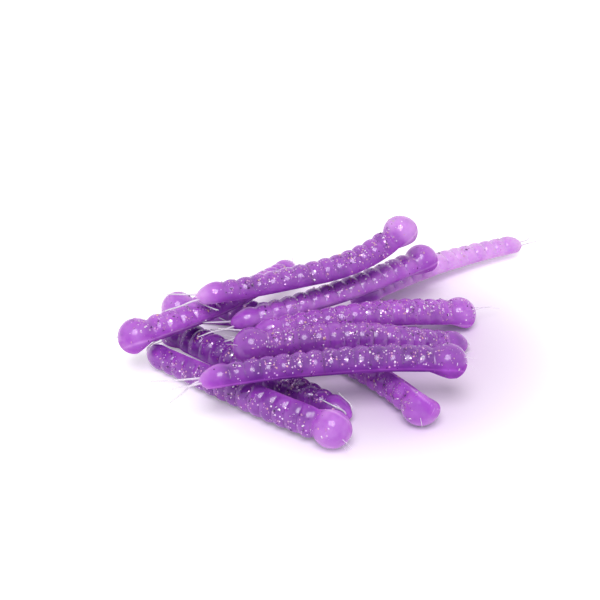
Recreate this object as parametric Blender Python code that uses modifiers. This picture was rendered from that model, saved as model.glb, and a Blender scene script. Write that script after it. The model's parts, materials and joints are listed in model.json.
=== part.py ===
"""A heap of soft plastic trout worms, tipped out on a table.

Every worm is the same pouring: a ball head, a ringed back, the flat belly that an open mould
leaves, and a small tail bead with two feelers. One straight worm is turned and pressed flat
here, cut at the ring grooves where its free ends bend, and then bent along the line on which
each worm of the heap lies. The worms are laid one by one, and each settles as a soft beam on
the table and on the worms under it.
"""

import math

import bmesh
import bpy
import numpy as np
from mathutils import Matrix, Vector

MM = 0.001

# The moulded worm, in millimetres
RING_COUNT = 13
RING_PITCH = 2.6
RING_DEPTH = 0.3
BODY_RADIUS = 2.95
TAIL_RADIUS = 2.3
HEAD_RADIUS = 3.3
TAPER_RINGS = 8
BELLY_DROP = 1.6
BEAD_SINK = 1.0
BEAD_HALF_LENGTH = 3.0
BEAD_POINT = 0.25
NECK_SINK = 0.55

# Facets of the worm: sides round the section, the shares of a ring's pitch between which it is
# full, and the angles (degrees) of the facet corners on the tail bead and the ball head
SIDES = 12
RING_CREST = (0.28, 0.72)
BEAD_ANGLES = (25, 50, 75, 100, 125)
HEAD_ANGLES = (120, 95, 70, 45, 20)
FEELER_SHARES = (0.0, 0.35, 0.7, 1.0)
SHARP_EDGE = 60
WELD_DISTANCE = 0.001

# The feelers on the tail bead, in millimetres and degrees
FEELER_LENGTH = 6.0
FEELER_ROOT_RADIUS = 0.3
FEELER_TIP_RADIUS = 0.12
FEELER_SPREAD = 0.7
FEELER_SPLAY = 6.5
FEELER_LIFT = 1.2

# Gaps between worms and at the bending grooves, in millimetres
CLEARANCE = 0.3
GROOVE_GAP = 0.3

# How a worm settles: its bending stiffness over its weight per length, in cubic millimetres, the
# hardness of what it rests on, the largest move (mm) in one of the solver's steps, the number of
# those steps, the move at which it lies still, and a slight hold that keeps it from drifting
BEND_STIFFNESS = 8000.0
CONTACT_HARDNESS = 400.0
LARGEST_MOVE = 0.5
SETTLING_STEPS = 200
STILL_MOVE = 0.0001
SLIGHT_HOLD = 1e-7

# Fineness of the settled line and of the height map, in millimetres, and the samples over a
# section's width and the share of that width they cover
STATION_STEP = 0.5
MAP_STEP = 0.4
SIDE_SAMPLES = 81
SAMPLED_WIDTH = 0.999
LAYING_PASSES = 4
STEEPEST_CLIMB = 0.8

# Each worm as it lies, bottom of the heap first: the middle of its spine in plan (mm), the
# heading of its middle from tail to head and its bend in plan (degrees), the roll that turns its
# belly to its right (degrees), the rise of its curled head (mm), and the grooves, counted from
# the tail, where its free tail and head bend (0 where that end is covered)
WORMS = (
    ("worm_01", -13.1, -13.3, -37.5, 5.0, -118.0, 0.0, 0, 9),
    ("worm_02", -11.6, -4.4, 139.5, 0.0, 0.0, 0.0, 2, 0),
    ("worm_03", 5.6, -3.2, -42.0, -52.0, -138.0, 0.0, 0, 11),
    ("worm_04", -8.3, 13.7, 168.0, 5.0, 0.0, 0.0, 0, 9),
    ("worm_05", 24.0, 32.8, 215.5, 22.0, -30.0, 0.0, 5, 0),
    ("worm_06", 9.6, 5.6, 22.0, 8.0, 15.0, 0.0, 0, 8),
    ("worm_07", 7.2, -3.4, 196.7, -16.0, -10.0, 1.0, 4, 9),
    ("worm_08", -16.7, 8.6, 227.0, -48.0, -40.0, 0.0, 4, 12),
    ("worm_09", 4.3, 12.0, 31.0, 16.5, 35.0, 3.0, 0, 11),
    ("worm_10", 2.6, -14.6, 6.5, -12.0, 38.0, 0.0, 4, 9),
    ("worm_11", -0.3, 8.8, 25.0, 30.0, 30.0, 10.0, 4, 9),
)

TAIL_LENGTH = 2 * BEAD_HALF_LENGTH - BEAD_SINK
NECK_STATION = TAIL_LENGTH + RING_COUNT * RING_PITCH
WORM_LENGTH = NECK_STATION + 2 * HEAD_RADIUS - NECK_SINK
STATIONS = np.linspace(0.0, WORM_LENGTH, int(round(WORM_LENGTH / STATION_STEP)) + 1)
MAP_HALF_SPAN = 2 * WORM_LENGTH

PLASTIC_COLOUR = (0.33, 0.085, 0.52, 1.0)
PLASTIC_ROUGHNESS = 0.18


def groove_station(groove):
    """Distance from the tail tip to a ring groove, counted from the tail."""
    return TAIL_LENGTH + groove * RING_PITCH


def crest_radius(station):
    """Radius over the ring crests, growing from the tail bead to the full body."""
    grown = np.clip((station - TAIL_LENGTH) / (TAPER_RINGS * RING_PITCH), 0.0, 1.0)
    return TAIL_RADIUS + (BODY_RADIUS - TAIL_RADIUS) * grown


def bead_radius(station):
    """Radius of the tail bead, an egg with its small end outwards."""
    reach = np.clip(1 - station / BEAD_HALF_LENGTH, -1.0, 1.0)
    return TAIL_RADIUS * np.sqrt(1 - reach**2) * (1 - BEAD_POINT * reach)


def outer_radius(station):
    """Radius of the smooth outline over tail bead, crests and ball head."""
    trunk = np.where(station < BEAD_HALF_LENGTH, bead_radius(station), crest_radius(station))
    trunk = np.where(station > NECK_STATION, 0.0, trunk)
    reach = np.abs(station - (WORM_LENGTH - HEAD_RADIUS))
    head = np.sqrt(np.clip(HEAD_RADIUS**2 - reach**2, 0.0, None))
    return np.maximum(trunk, head)


def turned_profile():
    """Profile of the straight worm, as points (distance from the tail tip, radius)."""
    points = [(0.0, 0.0)]
    for angle in BEAD_ANGLES:
        along = BEAD_HALF_LENGTH * (1 - math.cos(math.radians(angle)))
        points.append((along, float(bead_radius(along))))
    for ring in range(RING_COUNT):
        start = groove_station(ring)
        points.append((start, float(crest_radius(start)) - RING_DEPTH))
        for share in RING_CREST:
            along = start + share * RING_PITCH
            points.append((along, float(crest_radius(along))))
    points.append((NECK_STATION, BODY_RADIUS - RING_DEPTH))
    for angle in HEAD_ANGLES:
        turn = math.radians(angle)
        points.append((WORM_LENGTH - HEAD_RADIUS * (1 - math.cos(turn)), HEAD_RADIUS * math.sin(turn)))
    points.append((WORM_LENGTH, 0.0))
    return points


# Laying the heap


def plan_line(lie, climb):
    """Plan of a worm's spine, shortened where it climbs: x, y and heading at each station."""
    heading = np.radians(lie["heading"] + lie["bend"] * (STATIONS / WORM_LENGTH - 0.5))
    level = np.sqrt(1 - climb**2)
    step = np.diff(STATIONS)
    run_x, run_y = np.cos(heading) * level, np.sin(heading) * level
    x = np.concatenate([[0.0], np.cumsum((run_x[1:] + run_x[:-1]) / 2 * step)])
    y = np.concatenate([[0.0], np.cumsum((run_y[1:] + run_y[:-1]) / 2 * step)])
    middle = len(STATIONS) // 2
    return lie["x"] + x - x[middle], lie["y"] + y - y[middle], heading


def section_heights(roll, thickness):
    """Lower and upper skin of the rolled D section over its width, at each station."""
    radius = outer_radius(STATIONS)[:, None]
    side = np.linspace(-SAMPLED_WIDTH, SAMPLED_WIDTH, SIDE_SAMPLES)[None, :] * radius
    round_half = np.sqrt(radius**2 - side**2)
    belly = (-BELLY_DROP + side * math.sin(roll)) / math.cos(roll)
    if math.cos(roll) > 0:
        lower, upper = np.maximum(-round_half, belly), round_half
    else:
        lower, upper = -round_half, np.minimum(round_half, belly)
    return side, lower * thickness[:, None], upper * thickness[:, None], lower < upper


def map_cell(length):
    """Row or column of the height map for a plan coordinate."""
    cells = int(round(2 * MAP_HALF_SPAN / MAP_STEP))
    return np.clip(np.round((length + MAP_HALF_SPAN) / MAP_STEP).astype(int), 0, cells)


def settle(floor, curl):
    """Height of a soft beam that rests on the given lowest heights of its spine."""
    count = len(STATIONS)
    step = STATIONS[1] - STATIONS[0]
    second = (np.eye(count)[:-2] - 2 * np.eye(count)[1:-1] + np.eye(count)[2:]) / step**2
    stiffness = BEND_STIFFNESS * step * second.T @ second
    rise = curl * np.clip(2 * STATIONS / WORM_LENGTH - 1, 0.0, None) ** 2
    load = BEND_STIFFNESS * step * second.T @ (second @ rise) - step
    middle = count // 2
    low = floor - rise
    left, right = np.arange(middle)[:, None], np.arange(middle + 1, count)[None, :]
    share = (STATIONS[middle] - STATIONS[left]) / (STATIONS[right] - STATIONS[left])
    chord = low[left] + (low[right] - low[left]) * share
    first, last = np.unravel_index(np.argmax(chord), chord.shape)
    last = last + middle + 1
    slope = (low[last] - low[first]) / (STATIONS[last] - STATIONS[first])
    height = low[first] + slope * (STATIONS - STATIONS[first]) + rise
    hold = SLIGHT_HOLD * np.eye(count)
    for _ in range(SETTLING_STEPS):
        touching = np.diag((floor >= height).astype(float)) * CONTACT_HARDNESS * step
        target = np.linalg.solve(stiffness + touching + hold, load + touching @ floor + hold @ height)
        move = target - height
        biggest = np.abs(move).max()
        height = height + move * min(1.0, LARGEST_MOVE / max(biggest, STILL_MOVE))
        if biggest < STILL_MOVE:
            break
    return height + max(0.0, (floor - height).max())


def lay_worm(lie, surface):
    """Spine of a worm settled on the height map, which then takes the worm in."""
    roll = math.radians(lie["roll"])
    climb = np.zeros_like(STATIONS)
    for _ in range(LAYING_PASSES):
        x, y, heading = plan_line(lie, climb)
        right_x, right_y = np.sin(heading)[:, None], -np.cos(heading)[:, None]
        side, lower, upper, solid = section_heights(roll, 1 / np.sqrt(1 - climb**2))
        columns, rows = x[:, None] + side * right_x, y[:, None] + side * right_y
        under = surface[map_cell(columns), map_cell(rows)]
        floor = np.where(solid, under + CLEARANCE - lower, -MAP_HALF_SPAN).max(axis=1)
        height = settle(floor, lie["curl"])
        climb = np.clip(np.gradient(height, STATIONS), -STEEPEST_CLIMB, STEEPEST_CLIMB)
    for shift_x in (-MAP_STEP / 2, 0.0, MAP_STEP / 2):
        for shift_y in (-MAP_STEP / 2, 0.0, MAP_STEP / 2):
            cells = map_cell(columns + shift_x)[solid], map_cell(rows + shift_y)[solid]
            np.maximum.at(surface, cells, (height[:, None] + upper)[solid])
    return np.stack([x, y, height], axis=1)


def spine_frame(spine, station):
    """Point, direction, right side and back of a spine at a distance from the tail tip."""
    ahead = np.gradient(spine, STATIONS, axis=0)
    point = Vector([np.interp(station, STATIONS, spine[:, axis]) for axis in range(3)])
    along = Vector([np.interp(station, STATIONS, ahead[:, axis]) for axis in range(3)]).normalized()
    right = along.cross(Vector((0, 0, 1))).normalized()
    return point, along, right, right.cross(along)


# Modelling


def new_collection(name):
    collection = bpy.data.collections.new(name)
    bpy.context.scene.collection.children.link(collection)
    return collection


def add_object(name, data, collection, parent):
    part = bpy.data.objects.new(name, data)
    collection.objects.link(part)
    part.parent = parent
    return part


def hide_guide(guide):
    guide.hide_render = True
    guide.display_type = "WIRE"


def evaluated_mesh(part):
    """Mesh of an object with its modifiers applied, its loose caps welded."""
    bpy.context.view_layer.update()
    mesh = bpy.data.meshes.new_from_object(part.evaluated_get(bpy.context.evaluated_depsgraph_get()))
    work = bmesh.new()
    work.from_mesh(mesh)
    bmesh.ops.remove_doubles(work, verts=work.verts, dist=WELD_DISTANCE * MM)
    bmesh.ops.recalc_face_normals(work, faces=work.faces)
    work.to_mesh(mesh)
    work.free()
    return mesh


def press_belly(mesh):
    """Press the underside flat: outer points run out to the belly's edge, inner ones to a third of it."""
    drop = BELLY_DROP * MM
    for vertex in mesh.vertices:
        along, side, up = vertex.co
        radius = math.hypot(side, up)
        if up < -drop:
            edge = math.sqrt(max(radius**2 - drop**2, 0.0))
            outer = abs(math.atan2(side, -up)) > math.pi / SIDES
            reach = edge if outer else edge / 3
            vertex.co = (along, math.copysign(reach, side), -drop)


def turned_worm(collection):
    """The straight worm along +X, tail tip at the origin, turned and pressed flat."""
    points = turned_profile()
    mesh = bpy.data.meshes.new("worm_profile")
    half_side = math.pi / SIDES
    coordinates = []
    for along, radius in points:
        coordinates.append((radius * math.sin(half_side) * MM, radius * math.cos(half_side) * MM, along * MM))
    edges = [(index, index + 1) for index in range(len(points) - 1)]
    mesh.from_pydata(coordinates, edges, [])
    profile = add_object("worm_profile", mesh, collection, None)
    screw = profile.modifiers.new("turn", "SCREW")
    screw.axis = "Z"
    screw.steps = SIDES
    screw.render_steps = SIDES
    screw.use_merge_vertices = True
    screw.merge_threshold = WELD_DISTANCE * MM
    worm = evaluated_mesh(profile)
    worm.transform(Matrix.Rotation(math.radians(90), 4, "Y"))
    press_belly(worm)
    bpy.data.objects.remove(profile)
    return worm


def feeler(side, collection):
    """One tapering feeler, rooted in the tail bead, as a tube that curves outwards and to the back."""
    curve = bpy.data.curves.new("feeler", "CURVE")
    curve.dimensions = "3D"
    curve.bevel_depth = MM
    curve.bevel_resolution = 1
    curve.use_fill_caps = True
    line = curve.splines.new("POLY")
    line.points.add(len(FEELER_SHARES) - 1)
    splay = math.radians(FEELER_SPLAY)
    root = BEAD_HALF_LENGTH / 2
    length = FEELER_LENGTH + root
    for point, share in zip(line.points, FEELER_SHARES):
        out = share * length
        along = root - out * math.cos(splay)
        sideways = side * (FEELER_SPREAD + out * math.sin(splay) * share)
        point.co = (along * MM, sideways * MM, FEELER_LIFT * share**2 * MM, 1.0)
        point.radius = FEELER_ROOT_RADIUS + (FEELER_TIP_RADIUS - FEELER_ROOT_RADIUS) * share
    tube = add_object("feeler", curve, collection, None)
    mesh = evaluated_mesh(tube)
    bpy.data.objects.remove(tube)
    return mesh


def worm_with_feelers(collection):
    """The straight worm with its two feelers joined on."""
    whole = add_object("straight_worm", turned_worm(collection), collection, None)
    for side in (-1, 1):
        strand = add_object("feeler_strand", feeler(side, collection), collection, None)
        hide_guide(strand)
        union = whole.modifiers.new("join feeler", "BOOLEAN")
        union.operation = "UNION"
        union.solver = "EXACT"
        union.object = strand
    mesh = evaluated_mesh(whole)
    bpy.data.objects.remove(whole)
    return mesh


def stretch_of_worm(worm, first, last, name):
    """Copy of the straight worm between two distances from its tail tip, its cut ends closed."""
    work = bmesh.new()
    work.from_mesh(worm)
    for station, outward in ((first, -1), (last, 1)):
        if station is None:
            continue
        everything = work.verts[:] + work.edges[:] + work.faces[:]
        cut = bmesh.ops.bisect_plane(
            work, geom=everything, dist=WELD_DISTANCE * MM, plane_co=(station * MM, 0, 0),
            plane_no=(outward, 0, 0), clear_outer=True,
        )
        rim = [item for item in cut["geom_cut"] if isinstance(item, bmesh.types.BMEdge)]
        bmesh.ops.contextual_create(work, geom=rim)
    bmesh.ops.recalc_face_normals(work, faces=work.faces)
    mesh = bpy.data.meshes.new(name)
    work.to_mesh(mesh)
    work.free()
    mesh.shade_smooth()
    mesh.set_sharp_from_angle(angle=math.radians(SHARP_EDGE))
    return mesh


def guide_curve(name, spine, roll, collection, parent):
    """The line that a worm is bent along, tilted by the worm's roll."""
    curve = bpy.data.curves.new(name, "CURVE")
    curve.dimensions = "3D"
    curve.twist_mode = "Z_UP"
    line = curve.splines.new("POLY")
    line.points.add(len(spine) - 1)
    for point, place in zip(line.points, spine):
        point.co = (place[0] * MM, place[1] * MM, place[2] * MM, 1.0)
        point.tilt = -math.radians(roll)
    guide = add_object(name, curve, collection, parent)
    hide_guide(guide)
    return guide


def plastic():
    """Clear violet plastic with a wet gloss."""
    material = bpy.data.materials.new("worm_plastic")
    material.use_nodes = True
    surface = material.node_tree.nodes["Principled BSDF"]
    surface.inputs["Base Color"].default_value = PLASTIC_COLOUR
    surface.inputs["Roughness"].default_value = PLASTIC_ROUGHNESS
    surface.inputs["Metallic"].default_value = 0.0
    return material


def hinge_place(spine, lie, groove):
    """Where a free end bends: the highest point of the groove's section, and the level line across."""
    station = groove_station(groove)
    point, along, right, back = spine_frame(spine, station)
    roll = math.radians(lie["roll"])
    radius = float(crest_radius(station)) - RING_DEPTH
    top = radius
    if math.cos(roll) < 0:
        edge = math.sqrt(radius**2 - BELLY_DROP**2)
        top = -BELLY_DROP * math.cos(roll) + edge * abs(math.sin(roll))
    return point + back * top, right


def build_worm(lie, spine, worm, parts, guides, root, material):
    """The body of one worm and its free ends, each end on an empty at the groove where it bends."""
    name = lie["name"]
    guide = guide_curve(name + "_line", spine, lie["roll"], guides, root)
    half_gap = GROOVE_GAP / 2
    tail_cut = groove_station(lie["tail_groove"]) if lie["tail_groove"] else None
    head_cut = groove_station(lie["head_groove"]) if lie["head_groove"] else None
    pieces = [("body", tail_cut and tail_cut + half_gap, head_cut and head_cut - half_gap, 0)]
    if tail_cut:
        pieces.append(("tail", None, tail_cut - half_gap, lie["tail_groove"]))
    if head_cut:
        pieces.append(("head", head_cut + half_gap, None, lie["head_groove"]))
    for label, first, last, groove in pieces:
        node = name + "_" + label
        mesh = stretch_of_worm(worm, first, last, node)
        mesh.materials.append(material)
        holder = root
        if groove:
            place, across = hinge_place(spine, lie, groove)
            holder = add_object(node + "_bend", None, guides, root)
            holder.location = place * MM
            bpy.context.view_layer.update()
        part = add_object(node, mesh, parts, holder)
        if groove:
            part.matrix_parent_inverse = holder.matrix_local.inverted()
            yield node, holder, across
        bend = part.modifiers.new("bend", "CURVE")
        bend.object = guide
        bend.deform_axis = "POS_X"


def evaluated_corners(parts):
    """Lowest and highest world coordinates of the finished pieces."""
    bpy.context.view_layer.update()
    depsgraph = bpy.context.evaluated_depsgraph_get()
    corners = []
    for part in parts.objects:
        shape = part.evaluated_get(depsgraph)
        flat = np.empty(3 * len(shape.data.vertices))
        shape.data.vertices.foreach_get("co", flat)
        world = np.array(shape.matrix_world)
        points = flat.reshape(-1, 3) @ world[:3, :3].T + world[:3, 3]
        corners += [points.min(axis=0), points.max(axis=0)]
    return np.min(corners, axis=0), np.max(corners, axis=0)


def main():
    for old in list(bpy.data.objects):
        bpy.data.objects.remove(old)
    parts = new_collection("soft_plastic_worms")
    guides = new_collection("guides")
    root = add_object("heap", None, guides, None)
    material = plastic()
    worm = worm_with_feelers(guides)
    cells = int(round(2 * MAP_HALF_SPAN / MAP_STEP)) + 1
    surface = np.full((cells, cells), -CLEARANCE)
    keys = ("name", "x", "y", "heading", "bend", "roll", "curl", "tail_groove", "head_groove")
    bends = []
    for row in WORMS:
        lie = dict(zip(keys, row))
        spine = lay_worm(lie, surface)
        bends += build_worm(lie, spine, worm, parts, guides, root, material)
    low, high = evaluated_corners(parts)
    root.location = (-(low[0] + high[0]) / 2, -(low[1] + high[1]) / 2, -low[2])
    bpy.context.view_layer.update()
    for node, holder, across in bends:
        place = holder.matrix_world.translation
        print(node, "bends at", [round(value, 5) for value in place], "about", [round(v, 4) for v in across])


main()
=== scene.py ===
"""Looks of a heap of soft plastic trout worms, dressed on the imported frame.

Each worm is a skin of clear violet gel: a ringed round back, a flat belly with a raised rim, a ball
head with hairs of flash, and a tail bead with thin feelers. Glitter lies in the back, where it sank
in the open mould. The worms are laid by the same rule as the solids: each settles as a soft beam
on the table and on the worms under it.
"""

import json
import math

import bpy
import numpy as np
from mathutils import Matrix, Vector

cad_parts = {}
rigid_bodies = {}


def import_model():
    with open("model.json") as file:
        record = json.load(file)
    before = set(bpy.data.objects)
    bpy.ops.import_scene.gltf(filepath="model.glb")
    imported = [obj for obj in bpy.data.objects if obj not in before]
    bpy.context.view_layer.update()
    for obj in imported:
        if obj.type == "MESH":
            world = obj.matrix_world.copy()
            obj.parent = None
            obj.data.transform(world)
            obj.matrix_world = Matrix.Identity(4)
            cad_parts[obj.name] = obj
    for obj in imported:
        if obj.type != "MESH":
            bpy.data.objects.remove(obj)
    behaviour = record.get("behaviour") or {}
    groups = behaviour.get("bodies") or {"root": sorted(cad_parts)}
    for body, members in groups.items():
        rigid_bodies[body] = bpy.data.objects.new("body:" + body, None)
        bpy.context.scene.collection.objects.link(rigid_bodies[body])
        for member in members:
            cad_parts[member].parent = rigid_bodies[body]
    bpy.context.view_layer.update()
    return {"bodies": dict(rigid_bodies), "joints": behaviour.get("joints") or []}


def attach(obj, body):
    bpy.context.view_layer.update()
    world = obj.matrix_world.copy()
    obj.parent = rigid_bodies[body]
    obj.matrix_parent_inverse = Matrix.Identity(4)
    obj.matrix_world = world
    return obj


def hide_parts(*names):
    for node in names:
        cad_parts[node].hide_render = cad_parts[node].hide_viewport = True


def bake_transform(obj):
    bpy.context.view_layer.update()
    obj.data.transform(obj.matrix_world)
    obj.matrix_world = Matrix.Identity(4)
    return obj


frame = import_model()

MM = 0.001

# The moulded worm, in millimetres
RING_COUNT = 13
RING_PITCH = 2.6
RING_DEPTH = 0.3
BODY_RADIUS = 2.95
TAIL_RADIUS = 2.3
HEAD_RADIUS = 3.3
TAPER_RINGS = 8
BELLY_DROP = 1.6
BEAD_SINK = 1.0
BEAD_HALF_LENGTH = 3.0
BEAD_POINT = 0.25
NECK_SINK = 0.55

TAIL_LENGTH = 2 * BEAD_HALF_LENGTH - BEAD_SINK
NECK_STATION = TAIL_LENGTH + RING_COUNT * RING_PITCH
WORM_LENGTH = NECK_STATION + 2 * HEAD_RADIUS - NECK_SINK

# How a worm settles on what lies under it, as in the solids
CLEARANCE = 0.3
BEND_STIFFNESS = 8000.0
CONTACT_HARDNESS = 400.0
LARGEST_MOVE = 0.5
SETTLING_STEPS = 200
STILL_MOVE = 0.0001
SLIGHT_HOLD = 1e-7
STATION_STEP = 0.5
MAP_STEP = 0.4
SIDE_SAMPLES = 81
SAMPLED_WIDTH = 0.999
LAYING_PASSES = 4
STEEPEST_CLIMB = 0.8
STATIONS = np.linspace(0.0, WORM_LENGTH, int(round(WORM_LENGTH / STATION_STEP)) + 1)
MAP_HALF_SPAN = 2 * WORM_LENGTH

# Each worm as it lies, bottom first: middle of its spine in plan (mm), heading and bend in plan
# (degrees), roll of its belly to its right (degrees), rise of its curled head (mm), and the grooves
# where its free tail and head bend (0 where that end is covered)
WORMS = (
    ("worm_01", -13.1, -13.3, -37.5, 5.0, -118.0, 0.0, 0, 9),
    ("worm_02", -11.6, -4.4, 139.5, 0.0, 0.0, 0.0, 2, 0),
    ("worm_03", 5.6, -3.2, -42.0, -52.0, -138.0, 0.0, 0, 11),
    ("worm_04", -8.3, 13.7, 168.0, 5.0, 0.0, 0.0, 0, 9),
    ("worm_05", 24.0, 32.8, 215.5, 22.0, -30.0, 0.0, 5, 0),
    ("worm_06", 9.6, 5.6, 22.0, 8.0, 15.0, 0.0, 0, 8),
    ("worm_07", 7.2, -3.4, 196.7, -16.0, -10.0, 1.0, 4, 9),
    ("worm_08", -16.7, 8.6, 227.0, -48.0, -40.0, 0.0, 4, 12),
    ("worm_09", 4.3, 12.0, 31.0, 16.5, 35.0, 3.0, 0, 11),
    ("worm_10", 2.6, -14.6, 6.5, -12.0, 38.0, 0.0, 4, 9),
    ("worm_11", -0.3, 8.8, 25.0, 30.0, 30.0, 10.0, 4, 9),
)
WORM_KEYS = ("name", "x", "y", "heading", "bend", "roll", "curl", "tail_groove", "head_groove")
LIES = [dict(zip(WORM_KEYS, row)) for row in WORMS]

# The skin's own relief, in millimetres and degrees
GROOVE_DEPTH = 0.36
GROOVE_SHARPNESS = 2.0
GROOVE_FADE_FROM = 86.0
GROOVE_FADE_TO = 116.0
NECK_DEPTH = 0.22
NECK_WIDTH = 0.9
GROOVE_AT_BELLY = 0.12
BELLY_SINK = 0.14
CORNER_SHARPNESS = 9
JOIN_SHARPNESS = 20
RING_UNEVENNESS = 0.05

# The skin's grid: rows on a ring and on each end, the angles (degrees) over which the rows of bead and
# head are spread, and columns round it
ROWS_PER_RING = 20
END_ROWS = 26
BEAD_TURN = (6.0, 125.0)
HEAD_TURN = (140.0, 6.0)
COLUMNS = 96

# Limits of the belly: its depth as a share of the radius, the least downward share of a line that
# meets it, and the distance (mm) that stands for a line that doesn't; then a length too small to matter
DEEPEST_BELLY = 0.985
LEAST_DOWN = 0.05
FAR_AWAY = 1e3
TINY = 1e-9

# Rings from the tail's bending groove to the seam of a worm with two skins
SEAM_RINGS = 2

# Feelers on the tail bead, in millimetres: their radii, the distance of their roots from the middle,
# and the height of their slight wave, whose turn and start lie between two angles (radians)
FEELER_ROOT_RADIUS = 0.22
FEELER_TIP_RADIUS = 0.1
FEELER_SPREAD = 0.7
FEELER_WAVE = 0.2
WAVE_TURNS = (7.0, 11.0)
WAVE_STARTS = (0.0, 6.0)

# Rows and sides of a strand's tube, and the upward share past which a strand counts as upright
STRAND_ROWS = 24
STRAND_SIDES = 10
NEARLY_UPRIGHT = 0.9

# Tips of each worm's feelers, in millimetres from their roots: behind the tail, to the right and up
PLAIN_TIPS = ((7.4, -1.5, 0.9), (7.2, 1.6, 0.8))
FEELER_TIPS = {
    "worm_01": ((1.8, -2.8, 0.3), (1.4, -3.2, 0.9)),
    "worm_02": ((-3.2, -1.1, 2.3), (-2.8, 1.2, 2.2)),
    "worm_05": ((6.0, -0.8, 0.9), (5.4, 1.0, 0.3)),
    "worm_07": ((1.6, 2.4, 0.2), (1.2, 2.8, -0.6)),
    "worm_08": ((1.6, -0.8, -3.2), (1.4, 0.9, -3.4)),
    "worm_09": ((7.2, -1.6, 0.8), (7.8, -0.8, -0.8)),
    "worm_10": ((9.2, -0.6, 0.7), (6.0, 0.6, 0.1), (6.6, 3.4, -1.6)),
    "worm_11": ((7.2, -0.5, 0.9), (7.2, 1.5, -0.9), (-2.2, 2.4, -2.0)),
}

# Fine hairs of flash: their radius (mm), the depth of the root as a share of the skin's radius, and
# the shares of the length by which they sag and of the radius by which they taper
HAIR_RADIUS = 0.07
HAIR_ROOT = 0.9
HAIR_SAG = 0.12
HAIR_TAPER = 0.6

# Each hair, in millimetres and degrees: the worm and end it stands on, the distance of its root from
# that end's tip, its angle from the back, how far it leans ahead, out and round, and its length
HAIRS = (
    ("worm_06", "head", 0.3, 0.0, 1.0, 0.10, 0.10, 6.2),
    ("worm_06", "head", 0.3, 40.0, 1.0, 0.15, -0.25, 4.6),
    ("worm_07", "head", 0.8, -60.0, 1.0, 0.5, 0.2, 2.4),
    ("worm_07", "head", 0.6, 30.0, 1.0, 0.3, -0.3, 2.0),
    ("worm_08", "head", 0.6, -40.0, 1.0, 0.6, 0.2, 2.2),
    ("worm_08", "head", 0.9, 10.0, 1.0, 0.9, -0.2, 1.8),
    ("worm_08", "head", 0.5, 50.0, 1.0, 0.4, 0.5, 2.0),
    ("worm_08", "tail", 0.6, -30.0, -1.0, 0.6, 0.6, 2.4),
    ("worm_08", "tail", 0.8, -60.0, -0.6, 0.8, 0.5, 2.0),
    ("worm_08", "tail", 0.5, 20.0, -1.0, 0.5, 0.4, 1.8),
    ("worm_10", "head", 1.0, 70.0, 1.0, 0.5, 0.2, 2.0),
    ("worm_10", "head", 0.6, 95.0, 1.0, 0.3, 0.5, 1.7),
    ("worm_10", "head", 0.7, 40.0, 1.0, 0.4, -0.4, 1.5),
    ("worm_01", "head", 0.4, -20.0, 1.0, 0.2, 0.3, 2.2),
    ("worm_01", "head", 0.7, 30.0, 1.0, 0.4, -0.3, 1.6),
    ("worm_03", "head", 0.5, -40.0, 1.0, 0.3, 0.6, 1.6),
    ("worm_09", "head", 0.5, 0.0, 1.0, 0.4, 0.3, 1.3),
)

# Colours of the gel by its paleness, whose paler end also serves for painted light, of the thin
# strands, and of the glitter, with the share of the flakes at which each colour starts
DEEP_VIOLET = (0.17, 0.028, 0.30, 1.0)
VIOLET = (0.44, 0.105, 0.62, 1.0)
LILAC = (0.78, 0.43, 0.90, 1.0)
GEL_COLOURS = ((0.0, DEEP_VIOLET), (0.5, VIOLET), (1.0, LILAC))
STRAND_ROOT = (0.88, 0.72, 0.94, 1.0)
STRAND_TIP = (0.97, 0.95, 0.98, 1.0)
WHITE = (1.0, 1.0, 1.0, 1.0)
FLAKE_COLOURS = (
    (0.0, (0.72, 0.40, 0.40, 1.0)),
    (0.07, (0.66, 0.30, 0.58, 1.0)),
    (0.30, (0.68, 0.42, 0.74, 1.0)),
    (0.62, (0.94, 0.80, 0.95, 1.0)),
    (0.78, (0.10, 0.015, 0.16, 1.0)),
)

# Mottling of the gel and its finest glitter, on millimetres of the unbent worm
MOTTLE_SCALE = 0.32
MOTTLE_DETAIL = 3.0
MOTTLE_STRENGTH = 0.6
FINE_GLITTER_SCALE = 2.3
FINE_GLITTER_SHARE = 0.35
FINE_FLAKE_RADIUS = 0.36
FINE_FLAKE_METAL = 0.8

# The table: its half width (mm), its own whiteness to the eye near the heap and away from it, and the
# distances (m) between which that grows; then the middle, the reach (m) and the fall of the violet
# glow painted into its colour under the heap, and the colours away from it and in it; the faint lilac
# away from the heap is painted to tint the table's shade
TABLE_HALF_WIDTH = 1000.0
TABLE_WHITENESS = (0.06, 0.5)
WHITENING_REACH = (0.015, 0.06)
GLOW_MIDDLE = (0.004, -0.006, 0.0)
GLOW_REACH = 0.038
GLOW_FALL = 2.0
# Painted shade tint: this faint lilac shows only where the table lies in shade.
TABLE_WHITE = (0.95, 0.91, 0.96, 1.0)
PAINTED_GLOW_UNDER_HEAP = (0.80, 0.62, 0.86, 1.0)
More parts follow.
